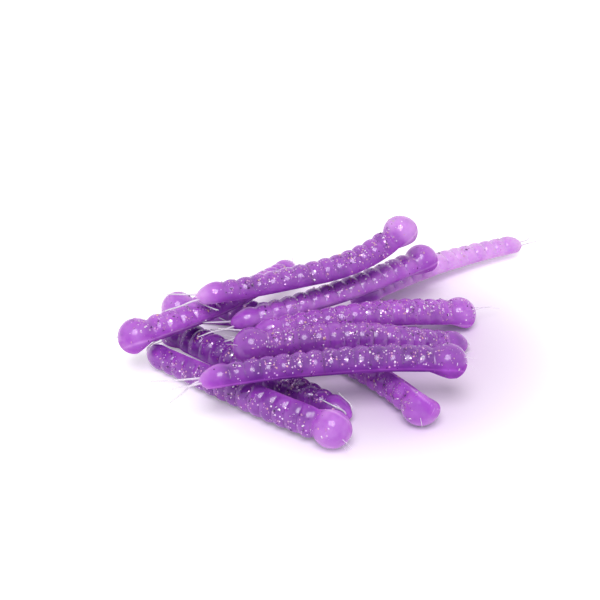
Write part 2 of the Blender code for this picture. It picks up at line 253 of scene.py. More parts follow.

# Paleness of each worm's body, head and tail bead, how full of glitter it is, the angle (degrees) from
# the back to the middle of its glitter, and how far (mm) the belly of its head bulges out. The paleness
# is partly the gel's own tone and partly painted light: heads and beads are painted paler as if lit
# through, and bodies are painted paler or darker to even out the light that falls on each
LOOK_KEYS = ("body", "head", "bead", "glitter", "glitter_angle", "head_bulge")
LOOKS = {
    "worm_01": (0.20, 0.62, 0.45, 0.80, -45.0, 1.2),
    "worm_02": (0.14, 0.25, 0.45, 0.90, -23.0, 0.0),
    "worm_03": (0.44, 0.52, 0.45, 0.90, -75.0, 0.6),
    "worm_04": (0.55, 0.64, 0.70, 0.40, -28.0, 0.0),
    # Painted light: worm_05's pale body stands for light shining through it.
    "worm_05": (0.92, 0.70, 0.98, 0.20, -54.0, 0.0),
    "worm_06": (0.42, 0.54, 0.40, 0.95, 42.0, 0.8),
    "worm_07": (0.24, 0.26, 0.30, 0.95, -38.0, 0.6),
    "worm_08": (0.48, 0.56, 0.85, 0.60, -60.0, 1.5),
    # Painted light: worm_09 is paler to make up for the shade that worm_11 casts on it.
    "worm_09": (0.58, 0.52, 0.45, 0.45, 48.0, 1.2),
    "worm_10": (0.12, 0.27, 0.76, 0.85, 62.0, 1.2),
    "worm_11": (0.30, 0.78, 1.00, 0.80, 54.0, 1.5),
}

# Where a worm's head starts to grow pale before the neck and over what length, in millimetres, which is
# painted light through the ball, the width (degrees) and strength of the painted highlight on the rim
# round its belly, and the gloss at a skin's two poles
HEAD_PAINTED_GLOW_START = 1.0
HEAD_PAINTED_GLOW_LENGTH = 3.0
RIM_HIGHLIGHT_WIDTH = 4.0
RIM_PAINTED_HIGHLIGHT = 0.25
POLE_GLOSS = 0.5

# Glitter, in millimetres and degrees: flakes in one full worm, their size and tilt, their spread
# round the back and over the head, how they lie in clumps or on ring middles along the worm, and at
# each end the bare length and the length over which the finest glitter grows
FLAKES = 360
FLAKE_SIDES = 6
FLAKE_SMALLEST = 0.07
FLAKE_LARGEST = 0.30
SMALLNESS = 3
FLAKE_THICKNESS = 0.03
FLAKE_TILT = 30.0
GLITTER_SPREAD = 28.0
HEAD_SPREAD = 56.0
CLUMPS = 7
CLUMP_LENGTH = 3.2
CLUMPED_SHARE = 0.4
RING_SCATTER = 0.18
HEAD_SHARE = 0.1
BARE_TIP = 1.5
GLITTER_AT_TAIL = (2.0, 5.0)
GLITTER_AT_HEAD = (1.0, 6.0)

# The steepest tilt of a flake, in radians
STEEPEST_TILT = 1.0

# The camera of the photograph, in millimetres, degrees and pixels of a square picture
CAMERA_TARGET = (0.0, 0.0, 6.0)
CAMERA_ELEVATION = 31.0
CAMERA_DISTANCE = 200.0
PICTURE_WIDTH = 600
FOCAL_PIXELS = 1120
TARGET_PIXEL = (318, 335)
SENSOR_WIDTH = 36.0
NEAREST_SIGHT = 5.0

# The even light of the surroundings, and the key lamp in metres and watts
WORLD_STRENGTH = 0.50
KEY_PLACE = (-0.03, -0.29, 0.50)
KEY_SIZE = 0.34
KEY_POWER = 1.95

# Places of the colour sockets on a Mix node, whose names its other kinds of value share
MIX_COLOURS = (6, 7)
MIX_RESULT = 2


# Laying the heap


def crest_radius(station):
    """Radius over the ring crests: straight growth from the tail bead to the full body."""
    grown = np.clip((station - TAIL_LENGTH) / (TAPER_RINGS * RING_PITCH), 0.0, 1.0)
    return TAIL_RADIUS + (BODY_RADIUS - TAIL_RADIUS) * grown


def ball(station, centre, radius):
    """Radius of a ball's section: root of radius squared less distance to its centre squared."""
    return np.sqrt(np.clip(radius**2 - (station - centre) ** 2, 0.0, None))


def bead_radius(station):
    """Radius of the tail bead, an egg: a half circle's height, drawn in towards its outer end."""
    reach = np.clip(1 - station / BEAD_HALF_LENGTH, -1.0, 1.0)
    return TAIL_RADIUS * np.sqrt(1 - reach**2) * (1 - BEAD_POINT * reach)


def outer_radius(station):
    """Radius of the smooth outline over tail bead, crests and ball head."""
    trunk = np.where(station < BEAD_HALF_LENGTH, bead_radius(station), crest_radius(station))
    trunk = np.where(station > NECK_STATION, 0.0, trunk)
    return np.maximum(trunk, ball(station, WORM_LENGTH - HEAD_RADIUS, HEAD_RADIUS))


def plan_line(lie, climb):
    """Plan of a spine: its heading turns evenly, and its step is shortened where it climbs."""
    heading = np.radians(lie["heading"] + lie["bend"] * (STATIONS / WORM_LENGTH - 0.5))
    level = np.sqrt(1 - climb**2)
    step = np.diff(STATIONS)
    run_x, run_y = np.cos(heading) * level, np.sin(heading) * level
    x = np.concatenate([[0.0], np.cumsum((run_x[1:] + run_x[:-1]) / 2 * step)])
    y = np.concatenate([[0.0], np.cumsum((run_y[1:] + run_y[:-1]) / 2 * step)])
    middle = len(STATIONS) // 2
    return lie["x"] + x - x[middle], lie["y"] + y - y[middle], heading


def section_heights(roll, thickness):
    """Lower and upper skin of the rolled D section over its width, at each station."""
    radius = outer_radius(STATIONS)[:, None]
    side = np.linspace(-SAMPLED_WIDTH, SAMPLED_WIDTH, SIDE_SAMPLES)[None, :] * radius
    round_half = np.sqrt(radius**2 - side**2)
    belly = (-BELLY_DROP + side * math.sin(roll)) / math.cos(roll)
    if math.cos(roll) > 0:
        lower, upper = np.maximum(-round_half, belly), round_half
    else:
        lower, upper = -round_half, np.minimum(round_half, belly)
    return side, lower * thickness[:, None], upper * thickness[:, None], lower < upper


def map_cell(length):
    """Row or column of the height map for a plan coordinate."""
    cells = int(round(2 * MAP_HALF_SPAN / MAP_STEP))
    return np.clip(np.round((length + MAP_HALF_SPAN) / MAP_STEP).astype(int), 0, cells)


def settle(floor, curl):
    """Heights of a soft beam over the lowest heights of its spine.

    Bending, weight and contact are in balance. It starts on the highest line that rests on one point
    each side of its middle. Each step solves the balance with what touches then, and moves a limited
    way towards it.
    """
    count = len(STATIONS)
    step = STATIONS[1] - STATIONS[0]
    second = (np.eye(count)[:-2] - 2 * np.eye(count)[1:-1] + np.eye(count)[2:]) / step**2
    stiffness = BEND_STIFFNESS * step * second.T @ second
    rise = curl * np.clip(2 * STATIONS / WORM_LENGTH - 1, 0.0, None) ** 2
    load = BEND_STIFFNESS * step * second.T @ (second @ rise) - step
    middle = count // 2
    low = floor - rise
    left, right = np.arange(middle)[:, None], np.arange(middle + 1, count)[None, :]
    share = (STATIONS[middle] - STATIONS[left]) / (STATIONS[right] - STATIONS[left])
    chord = low[left] + (low[right] - low[left]) * share
    first, last = np.unravel_index(np.argmax(chord), chord.shape)
    last = last + middle + 1
    slope = (low[last] - low[first]) / (STATIONS[last] - STATIONS[first])
    height = low[first] + slope * (STATIONS - STATIONS[first]) + rise
    hold = SLIGHT_HOLD * np.eye(count)
    for _ in range(SETTLING_STEPS):
        touching = np.diag((floor >= height).astype(float)) * CONTACT_HARDNESS * step
        target = np.linalg.solve(stiffness + touching + hold, load + touching @ floor + hold @ height)
        move = target - height
        biggest = np.abs(move).max()
        height = height + move * min(1.0, LARGEST_MOVE / max(biggest, STILL_MOVE))
        if biggest < STILL_MOVE:
            break
    return height + max(0.0, (floor - height).max())


def lay_worm(lie, surface):
    """Spine of a worm settled on the height map, which then takes the worm in."""
    roll = math.radians(lie["roll"])
    climb = np.zeros_like(STATIONS)
    for _ in range(LAYING_PASSES):
        x, y, heading = plan_line(lie, climb)
        right_x, right_y = np.sin(heading)[:, None], -np.cos(heading)[:, None]
        side, lower, upper, solid = section_heights(roll, 1 / np.sqrt(1 - climb**2))
        columns, rows = x[:, None] + side * right_x, y[:, None] + side * right_y
        under = surface[map_cell(columns), map_cell(rows)]
        floor = np.where(solid, under + CLEARANCE - lower, -MAP_HALF_SPAN).max(axis=1)
        height = settle(floor, lie["curl"])
        climb = np.clip(np.gradient(height, STATIONS), -STEEPEST_CLIMB, STEEPEST_CLIMB)
    for shift_x in (-MAP_STEP / 2, 0.0, MAP_STEP / 2):
        for shift_y in (-MAP_STEP / 2, 0.0, MAP_STEP / 2):
            cells = map_cell(columns + shift_x)[solid], map_cell(rows + shift_y)[solid]
            np.maximum.at(surface, cells, (height[:, None] + upper)[solid])
    return np.stack([x, y, height], axis=1)


def spine_frame(spine, stations):
    """Points, directions, right sides and backs of a spine, on cubic arcs between its laid points."""
    slope = np.gradient(spine, STATIONS, axis=0)
    step = STATIONS[1] - STATIONS[0]
    first = np.clip(np.floor(stations / step).astype(int), 0, len(STATIONS) - 2)
    t = ((stations - STATIONS[first]) / step)[:, None]
    a, b = spine[first], spine[first + 1]
    da, db = slope[first] * step, slope[first + 1] * step
    from_start = a * (1 + 2 * t) * (1 - t) ** 2 + da * t * (1 - t) ** 2
    point = from_start + b * t**2 * (3 - 2 * t) + db * t**2 * (t - 1)
    along = slope[first] * (1 - t) + slope[first + 1] * t
    along = along / np.linalg.norm(along, axis=1, keepdims=True)
    right = np.cross(along, (0.0, 0.0, 1.0))
    right = right / np.linalg.norm(right, axis=1, keepdims=True)
    return point, along, right, np.cross(right, along)


def groove_station(groove):
    """Distance from the tail tip to a ring groove, counted from the tail."""
    return TAIL_LENGTH + groove * RING_PITCH


def hinge_place(spine, lie, groove):
    """Highest point of a groove's section, where the solid of a free end bends."""
    station = groove_station(groove)
    point, _, _, back = spine_frame(spine, np.array([station]))
    roll = math.radians(lie["roll"])
    radius = float(crest_radius(station)) - RING_DEPTH
    top = radius
    if math.cos(roll) < 0:
        edge = math.sqrt(radius**2 - BELLY_DROP**2)
        top = -BELLY_DROP * math.cos(roll) + edge * abs(math.sin(roll))
    return point[0] + back[0] * top


def laid_heap():
    """Spines of all worms in the frame of the solids, and the shift (mm) that brought them there.

    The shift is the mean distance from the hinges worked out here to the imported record's hinges.
    """
    cells = int(round(2 * MAP_HALF_SPAN / MAP_STEP)) + 1
    surface = np.full((cells, cells), -CLEARANCE)
    spines = [lay_worm(lie, surface) for lie in LIES]
    packed = {joint["child"]: joint for joint in frame["joints"] if joint["type"] == "hinge"}
    shifts = []
    for lie, spine in zip(LIES, spines):
        for end in ("tail", "head"):
            if lie[end + "_groove"]:
                own = hinge_place(spine, lie, lie[end + "_groove"])
                shifts.append(np.array(packed[lie["name"] + "_" + end]["pos_m"]) / MM - own)
    shift = np.mean(shifts, axis=0)
    return [spine + shift for spine in spines], shift


# Meshes from arrays


def mesh_object(name, points, quads, triangles, material, smooth=True, **values):
    """Object from arrays of points (mm), quads and triangles, with named values at its points."""
    mesh = bpy.data.meshes.new(name)
    mesh.vertices.add(len(points))
    mesh.vertices.foreach_set("co", (points * MM).astype(np.float32).ravel())
    corners = np.concatenate([quads.ravel(), triangles.ravel()]).astype(np.int32)
    starts = np.concatenate([np.arange(len(quads)) * 4, quads.size + np.arange(len(triangles)) * 3])
    mesh.loops.add(len(corners))
    mesh.loops.foreach_set("vertex_index", corners)
    mesh.polygons.add(len(starts))
    mesh.polygons.foreach_set("loop_start", starts.astype(np.int32))
    mesh.update(calc_edges=True)
    for value, numbers in values.items():
        kind, field = ("FLOAT_VECTOR", "vector") if numbers.ndim == 2 else ("FLOAT", "value")
        layer = mesh.attributes.new(value, kind, "POINT")
        layer.data.foreach_set(field, numbers.astype(np.float32).ravel())
    mesh.validate()
    if smooth:
        mesh.shade_smooth()
    mesh.materials.append(material)
    piece = bpy.data.objects.new(name, mesh)
    bpy.context.scene.collection.objects.link(piece)
    return piece


def tube_faces(rows, columns):
    """Quads of a grid closed round its columns, and fans that close its two ends on two added poles."""
    row = np.arange(rows - 1)[:, None] * columns
    column = np.arange(columns)[None, :]
    after = (column + 1) % columns
    below = row + columns
    quads = np.stack([row + column, below + column, below + after, row + after], axis=-1)
    column, after = column[0], after[0]
    last = (rows - 1) * columns
    start_fan = np.stack([np.full(columns, rows * columns), column, after], axis=-1)
    end_fan = np.stack([np.full(columns, rows * columns + 1), last + after, last + column], axis=-1)
    return quads.reshape(-1, 4), np.concatenate([start_fan, end_fan])


def strands(name, lines, radii, material):
    """Round tubes along many lines at once: a circle carried on two sides square to each line.

    lines is strands x rows x 3 and radii is strands x rows, in millimetres.
    """
    along = np.gradient(lines, axis=1)
    along = along / np.linalg.norm(along, axis=2, keepdims=True)
    leaning = np.abs(along[..., 2:]) < NEARLY_UPRIGHT
    side = np.cross(along, np.where(leaning, (0.0, 0.0, 1.0), (1.0, 0.0, 0.0)))
    side = side / np.linalg.norm(side, axis=2, keepdims=True)
    other = np.cross(along, side)
    turn = np.linspace(0.0, 2 * math.pi, STRAND_SIDES, endpoint=False)
    ring = side[..., None, :] * np.cos(turn)[:, None] + other[..., None, :] * np.sin(turn)[:, None]
    tubes = lines[..., None, :] + radii[..., None, None] * ring
    count, rows = lines.shape[:2]
    poles = lines[:, [0, -1]]
    points = np.concatenate([tubes.reshape(count, -1, 3), poles], axis=1)
    quads, fans = tube_faces(rows, STRAND_SIDES)
    first = (np.arange(count) * points.shape[1])[:, None, None]
    share = np.concatenate([np.repeat(np.linspace(0.0, 1.0, rows), STRAND_SIDES), [0.0, 1.0]])
    all_quads = (quads + first).reshape(-1, 4)
    all_fans = (fans + first).reshape(-1, 3)
    outward = np.tile(share, count)
    return mesh_object(name, points.reshape(-1, 3), all_quads, all_fans, material, outward=outward)


# The worm's skin


def look(lie):
    """How pale, glittering and bulging one worm is."""
    return dict(zip(LOOK_KEYS, LOOKS[lie["name"]]))


def larger(a, b):
    """Smooth maximum of two radii: the root of their summed high powers, which rounds the join."""
    return (a**JOIN_SHARPNESS + b**JOIN_SHARPNESS) ** (1 / JOIN_SHARPNESS)


def skin_stations(first, last):
    """Rows of a skin: even angles over bead and head, and rows drawn together at each groove."""
    bead = BEAD_HALF_LENGTH * (1 - np.cos(np.radians(np.linspace(*BEAD_TURN, END_ROWS))))
    share = (1 - np.cos(np.linspace(0.0, math.pi, ROWS_PER_RING, endpoint=False))) / 2
    rings = TAIL_LENGTH + ((np.arange(RING_COUNT)[:, None] + share[None, :]) * RING_PITCH).ravel()
    head = WORM_LENGTH - HEAD_RADIUS * (1 - np.cos(np.radians(np.linspace(*HEAD_TURN, END_ROWS))))
    rows = np.concatenate([bead, rings, [NECK_STATION], head])
    return rows[(rows >= first - TINY) & (rows <= last + TINY)]


def on_back(angles):
    """One on the round back, falling to none at the belly as the cubic smooth step of the angle."""
    away = np.degrees(np.abs(angles))
    fall = np.clip((away - GROOVE_FADE_FROM) / (GROOVE_FADE_TO - GROOVE_FADE_FROM), 0.0, 1.0)
    return 1 - fall * fall * (3 - 2 * fall)


def section_radius(lie, stations, angles, ring_rise):
    """Distance from spine to skin at stations and angles from the back, arrays of matching shapes.

    A groove deepens as a power of the distance from its ring's middle, and fades towards the belly.
    Each ring swells by a small rise of its own. The neck is a bell-shaped dip. Bead and head are balls,
    joined on by a smooth maximum. The belly is a chord whose middle is sunk, joined to the round back
    by a smooth minimum.
    """
    ring = np.clip((stations - TAIL_LENGTH) / RING_PITCH, 0.0, RING_COUNT - TINY)
    from_middle = np.abs(2 * (ring % 1.0) - 1)
    on_trunk = (stations >= TAIL_LENGTH) & (stations <= NECK_STATION)
    groove = np.where(on_trunk, from_middle**GROOVE_SHARPNESS, 1.0)
    swell = np.where(on_trunk, ring_rise[ring.astype(int)] * (1 - groove), 0.0)
    fade = GROOVE_AT_BELLY + (1 - GROOVE_AT_BELLY) * on_back(angles)
    neck = NECK_DEPTH * np.exp(-(((stations - NECK_STATION) / NECK_WIDTH) ** 2))
    trunk = crest_radius(stations) - (GROOVE_DEPTH * groove - swell) * fade - neck
    between_balls = (stations > BEAD_HALF_LENGTH) & (stations < WORM_LENGTH - HEAD_RADIUS)
    trunk = np.where(between_balls, trunk, 0.0)
    balls = bead_radius(stations) + ball(stations, WORM_LENGTH - HEAD_RADIUS, HEAD_RADIUS)
    back = larger(trunk, balls)
    at_head = np.clip((stations - NECK_STATION) / HEAD_RADIUS, 0.0, 1.0)
    drop = np.minimum(BELLY_DROP + look(lie)["head_bulge"] * at_head, DEEPEST_BELLY * back)
    half_width = np.sqrt(back**2 - drop**2)
    reach = np.clip(drop * np.abs(np.tan(angles)) / half_width, 0.0, 1.0)
    sunk = drop - BELLY_SINK * np.minimum(drop / BELLY_DROP, 1.0) * (1 - reach**2) ** 2
    down = -np.cos(angles)
    chord = np.where(down > LEAST_DOWN, sunk / np.maximum(down, LEAST_DOWN), FAR_AWAY)
    return (back**-CORNER_SHARPNESS + chord**-CORNER_SHARPNESS) ** (-1 / CORNER_SHARPNESS)


def out_of_skin(spine, lie, stations, angles):
    """Spine points, directions along, out of and round the skin, at angles from the rolled back."""
    point, along, right, back = (
        part.reshape(stations.shape + (3,)) for part in spine_frame(spine, stations.ravel())
    )
    turn = (angles - math.radians(lie["roll"]))[..., None]
    out = np.sin(turn) * right + np.cos(turn) * back
    return point, along, out, np.cos(turn) * right - np.sin(turn) * back


def paleness(stations, angles, radius, lie):
    """How pale the gel is: as the body, as head and bead at its ends, and more on the belly's rim.

    The body's paleness is partly its own tone and partly painted light; the paler head and bead are
    painted light through the gel, and the rim is a painted highlight. The change to head and bead is
    even along the worm. The rim is a bell curve of the angle round it.
    """
    own = look(lie)
    body = own["body"]
    # Painted light: head and bead grow paler as if lit through the gel.
    at_head = np.clip((stations - NECK_STATION + HEAD_PAINTED_GLOW_START) / HEAD_PAINTED_GLOW_LENGTH, 0.0, 1.0)
    at_bead = np.clip((TAIL_LENGTH - stations) / TAIL_LENGTH, 0.0, 1.0)
    widest = np.maximum(radius.max(axis=1, keepdims=True), BELLY_DROP)
    corner = np.degrees(np.arccos(-BELLY_DROP / widest))
    # Painted highlight: a pale band along the belly's rim, where its edge catches the light.
    rim = np.exp(-(((np.degrees(np.abs(angles)) - corner) / RIM_HIGHLIGHT_WIDTH) ** 2))
    pale = body + (own["head"] - body) * at_head + (own["bead"] - body) * at_bead + RIM_PAINTED_HIGHLIGHT * rim
    return np.clip(pale, 0.0, 1.0)


def glitter_fill(stations, angles, lie):
    """How full of the finest glitter the gel is: a bell curve round the worm, less at both ends."""
    own = look(lie)
    bare_tail, tail_growth = GLITTER_AT_TAIL
    bare_head, head_growth = GLITTER_AT_HEAD
    past_tail = np.clip((stations - bare_tail) / tail_growth, 0.0, 1.0)
    before_head = np.clip((WORM_LENGTH - bare_head - stations) / head_growth, 0.0, 1.0)
    aside = (np.degrees(angles) - own["glitter_angle"]) / GLITTER_SPREAD
    return own["glitter"] * past_tail * before_head * np.exp(-(aside**2) / 2)


def worm_skin(name, spine, lie, first, last, ring_rise, material):
    """One closed skin between two stations, ending on a pole at each end.

    Its points lie at the section's radius from the spine, on a grid of stations and angles. Each
    keeps its place on the unbent worm, with the worms set apart, and its paleness (partly painted
    light), glitter and gloss.
    """
    stations = skin_stations(first, last)[:, None]
    angles = np.linspace(-math.pi, math.pi, COLUMNS, endpoint=False)[None, :]
    radius = section_radius(lie, stations, angles, ring_rise)
    point, _, out, _ = out_of_skin(spine, lie, stations, angles)
    grid = point + radius[..., None] * out
    ends = np.array([first, last])
    poles, _, _, _ = spine_frame(spine, ends)
    quads, fans = tube_faces(len(stations), COLUMNS)
    along = np.broadcast_to(stations, radius.shape)
    straight = np.stack([along, radius * np.sin(angles), radius * np.cos(angles)], axis=-1)
    straight_poles = np.stack([ends, 0 * ends, 0 * ends], axis=-1)
    apart = np.array([LIES.index(lie) * 2 * WORM_LENGTH, 0.0, 0.0])
    # The pale value carries painted light: paler heads and beads and a painted highlight on the rim.
    pale = paleness(stations, angles, radius, lie)
    fill = glitter_fill(stations, angles, lie)
    gloss = np.broadcast_to(on_back(angles), radius.shape)
    return mesh_object(
        name,
        np.concatenate([grid.reshape(-1, 3), poles]),
        quads,
        fans,
        material,
        mould=np.concatenate([straight.reshape(-1, 3), straight_poles]) + apart,
        pale=np.append(pale.ravel(), [pale[0].mean(), pale[-1].mean()]),
        glitter=np.append(fill.ravel(), [0.0, 0.0]),
        gloss=np.append(gloss.ravel(), [POLE_GLOSS, POLE_GLOSS]),
    )


def bend_between(piece, spine, station, before, after):
    """Bake a piece's placement into its mesh."""
    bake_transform(piece)


# Materials


def principled(name, **values):
    """A material whose Principled BSDF has the given plain socket values."""
    material = bpy.data.materials.new(name)
    material.use_nodes = True
    surface = material.node_tree.nodes["Principled BSDF"]
    for socket, value in values.items():
        surface.inputs[socket.replace("_", " ")].default_value = value
    return material, material.node_tree, surface


def attribute(tree, name):
    """Node that reads a value kept at the mesh's points."""
    node = tree.nodes.new("ShaderNodeAttribute")
    node.attribute_name = name
    return node


def math_node(tree, operation, *values, clamp=False):
    """Math node on the given sockets and numbers."""
    node = tree.nodes.new("ShaderNodeMath")
    node.operation = operation
    node.use_clamp = clamp
    for socket, value in zip(node.inputs, values):
        if isinstance(value, (int, float)):
            socket.default_value = value
        else:
            tree.links.new(value, socket)
    return node.outputs[0]


def mixed_colour(tree, factor, first, second):
    """Mix node between two colours, each a socket or a written colour."""
    node = tree.nodes.new("ShaderNodeMix")
    node.data_type = "RGBA"
    tree.links.new(factor, node.inputs[0])
    for place, value in zip(MIX_COLOURS, (first, second)):
        if isinstance(value, tuple):
            node.inputs[place].default_value = value
        else:
            tree.links.new(value, node.inputs[place])
    return node.outputs[MIX_RESULT]


def colour_steps(tree, value, way, steps):
    """Colour ramp on a value, from colours and the values at which they start."""
    ramp = tree.nodes.new("ShaderNodeValToRGB")
    ramp.color_ramp.interpolation = way
    ramp.color_ramp.elements[0].color = steps[0][1]
    ramp.color_ramp.elements[1].position, ramp.color_ramp.elements[1].color = steps[-1]
    for start, colour in steps[1:-1]:
        ramp.color_ramp.elements.new(start).color = colour
    tree.links.new(value, ramp.inputs["Fac"])
    return ramp.outputs["Color"]


def glitter_colours():
    """Node group that gives a flake its colour from a random number between none and one."""
    group = bpy.data.node_groups.new("glitter_colours", "ShaderNodeTree")
    group.interface.new_socket("Pick", in_out="INPUT", socket_type="NodeSocketFloat")
    group.interface.new_socket("Colour", in_out="OUTPUT", socket_type="NodeSocketColor")
    inward = group.nodes.new("NodeGroupInput")
    outward = group.nodes.new("NodeGroupOutput")
    colour = colour_steps(group, inward.outputs["Pick"], "CONSTANT", FLAKE_COLOURS)
    group.links.new(colour, outward.inputs["Colour"])
    return group


def flake_colour(tree, group, pick):
    """Colour of the flake with the given random number, from the group of glitter colours."""
    node = tree.nodes.new("ShaderNodeGroup")
    node.node_tree = group
    tree.links.new(pick, node.inputs["Pick"])
    return node.outputs["Colour"]


def seen_directly(tree):
    """One for rays of the camera, of gloss and through glass, and none for rays of even light."""
    path = tree.nodes.new("ShaderNodeLightPath")
    seen = math_node(tree, "MAXIMUM", path.outputs["Is Camera Ray"], path.outputs["Is Glossy Ray"])
    return math_node(tree, "MAXIMUM", seen, path.outputs["Is Transmission Ray"])


def violet_gel(colours):
    """Clear violet gel: light scatters deep in it, under a wet gloss on the round back.

    Deep violet turns lilac where the gel is pale, mottled by a slow noise; the paleness holds painted
    light through heads and beads and a painted highlight on the belly's rim. The finest glitter is
    cells
    of a fine Voronoi pattern: a cell holds a flake where its random number is under the fill.
    """
    material, tree, surface = principled(
        "violet_gel",
        Roughness=0.3,
        IOR=1.5,
        Subsurface_Weight=1.0,
        Subsurface_Radius=(1.0, 0.5, 1.0),
        Subsurface_Scale=0.0015,
        Specular_IOR_Level=0.0,
        Coat_Roughness=0.15,
        Coat_IOR=1.55,
        Coat_Tint=(1.0, 0.95, 1.0, 1.0),
    )
    mould = attribute(tree, "mould").outputs["Vector"]
    slow = tree.nodes.new("ShaderNodeTexNoise")
    slow.inputs["Scale"].default_value = MOTTLE_SCALE
    slow.inputs["Detail"].default_value = MOTTLE_DETAIL
    tree.links.new(mould, slow.inputs["Vector"])
    mottle = math_node(tree, "MULTIPLY_ADD", slow.outputs["Fac"], MOTTLE_STRENGTH, -MOTTLE_STRENGTH / 2)
    # Painted light: the pale attribute lightens heads, beads and the belly's rim as if lit.
    pale = math_node(tree, "ADD", attribute(tree, "pale").outputs["Fac"], mottle, clamp=True)
    tint = colour_steps(tree, pale, "LINEAR", GEL_COLOURS)
    cells = tree.nodes.new("ShaderNodeTexVoronoi")
    cells.inputs["Scale"].default_value = FINE_GLITTER_SCALE
    tree.links.new(mould, cells.inputs["Vector"])
    numbers = tree.nodes.new("ShaderNodeSeparateColor")
    tree.links.new(cells.outputs["Color"], numbers.inputs["Color"])
    fill = math_node(tree, "MULTIPLY", attribute(tree, "glitter").outputs["Fac"], FINE_GLITTER_SHARE)
    holds = math_node(tree, "LESS_THAN", numbers.outputs["Red"], fill)
    near = math_node(tree, "LESS_THAN", cells.outputs["Distance"], FINE_FLAKE_RADIUS)
    flake = math_node(tree, "MULTIPLY", holds, near)
    colour = mixed_colour(tree, flake, tint, flake_colour(tree, colours, numbers.outputs["Green"]))
    tree.links.new(colour, surface.inputs["Base Color"])
    tree.links.new(math_node(tree, "MULTIPLY", flake, FINE_FLAKE_METAL), surface.inputs["Metallic"])
    tree.links.new(attribute(tree, "gloss").outputs["Fac"], surface.inputs["Coat Weight"])
    return material


def glitter_flake(colours):
    """Half metal glitter in gold, rose, lilac and white, with some dark flakes."""
    material, tree, surface = principled("glitter_flake", Roughness=0.3, Metallic=0.5)
    colour = flake_colour(tree, colours, attribute(tree, "pick").outputs["Fac"])
    tree.links.new(colour, surface.inputs["Base Color"])
    return material


def clear_strand():
    """Thin strands of the same gel, half clear: pale violet at the root and almost white at the tip."""
    material, tree, surface = principled(
        "clear_strand",
        Roughness=0.2,
        IOR=1.45,
        Alpha=0.65,
        Coat_Weight=0.6,
        Coat_Roughness=0.12,
    )
    outward = attribute(tree, "outward").outputs["Fac"]
    colour = mixed_colour(tree, outward, STRAND_ROOT, STRAND_TIP)
    tree.links.new(colour, surface.inputs["Base Color"])
    return material


def white_table():
    """White table with the heap's soft shadow, a violet glow painted into its colour under the heap,
    and a lilac tint painted for its shade, whiter to the eye away from the heap.
    """
    material, tree, surface = principled("white_table", Roughness=0.6, Emission_Color=WHITE)
    place = tree.nodes.new("ShaderNodeTexCoord")
    distance = tree.nodes.new("ShaderNodeVectorMath")
    distance.operation = "DISTANCE"
    distance.inputs[1].default_value = GLOW_MIDDLE
    tree.links.new(place.outputs["Object"], distance.inputs[0])
    whiteness = tree.nodes.new("ShaderNodeMapRange")
    whiteness.interpolation_type = "SMOOTHSTEP"
    ranges = WHITENING_REACH + TABLE_WHITENESS
    for socket, value in zip(("From Min", "From Max", "To Min", "To Max"), ranges):
        whiteness.inputs[socket].default_value = value
    tree.links.new(distance.outputs["Value"], whiteness.inputs["Value"])
    away = math_node(tree, "DIVIDE", distance.outputs["Value"], GLOW_REACH, clamp=True)
    whitened = math_node(tree, "POWER", away, GLOW_FALL)
    # Painted glow: the table turns violet under the heap, as if light came through the gel.
    colour = mixed_colour(tree, whitened, PAINTED_GLOW_UNDER_HEAP, TABLE_WHITE)
    tree.links.new(colour, surface.inputs["Base Color"])
    strength = math_node(tree, "MULTIPLY", seen_directly(tree), whiteness.outputs["Result"])
    tree.links.new(strength, surface.inputs["Emission Strength"])
    return material


# Building


def owner(lie, end):
    """Body that carries a worm's end or its middle."""
    if end and lie[end + "_groove"]:
        return lie["name"] + "_" + end
    return lie["name"] if lie["name"] in frame["bodies"] else "heap"


def nodes_of(lie):
    """CAD nodes of one worm, from tail to head."""
    tail = ["_tail"] if lie["tail_groove"] else []
    head = ["_head"] if lie["head_groove"] else []
    return [lie["name"] + part for part in tail + ["_body"] + head]


def dress_worm(lie, spine, rng, ring_rise, gel, flake):
    """Skin and glitter of one worm; where both its ends bend, two skins that meet in a groove."""
    name = lie["name"]
    middle = owner(lie, None)
    nodes = nodes_of(lie)
    tail_bend = (groove_station(lie["tail_groove"]), owner(lie, "tail"), middle)
    head_bend = (groove_station(lie["head_groove"]), middle, owner(lie, "head"))
    if lie["tail_groove"] and lie["head_groove"]:
        seam = groove_station(lie["tail_groove"] + SEAM_RINGS)
        stretches = [
            ("_tail", 0.0, seam, tail_bend, nodes[:1]),
            ("_head", seam, WORM_LENGTH, head_bend, nodes[1:]),
        ]
    else:
        stretches = [("", 0.0, WORM_LENGTH, tail_bend if lie["tail_groove"] else head_bend, nodes)]
    stations, angles = flake_places(lie, rng)
    pieces = []
    for label, first, last, bend, replaced in stretches:
        skin = worm_skin(name + label + "_skin", spine, lie, first, last, ring_rise, gel)
        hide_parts(*replaced)
        here = (stations >= first) & (stations < last)
        places = (stations[here], angles[here])
        flakes = glitter(name + label + "_glitter", spine, lie, places, ring_rise, rng, flake)
        for piece in (skin, flakes):
            bend_between(piece, spine, *bend)
            pieces.append(piece)
    return pieces


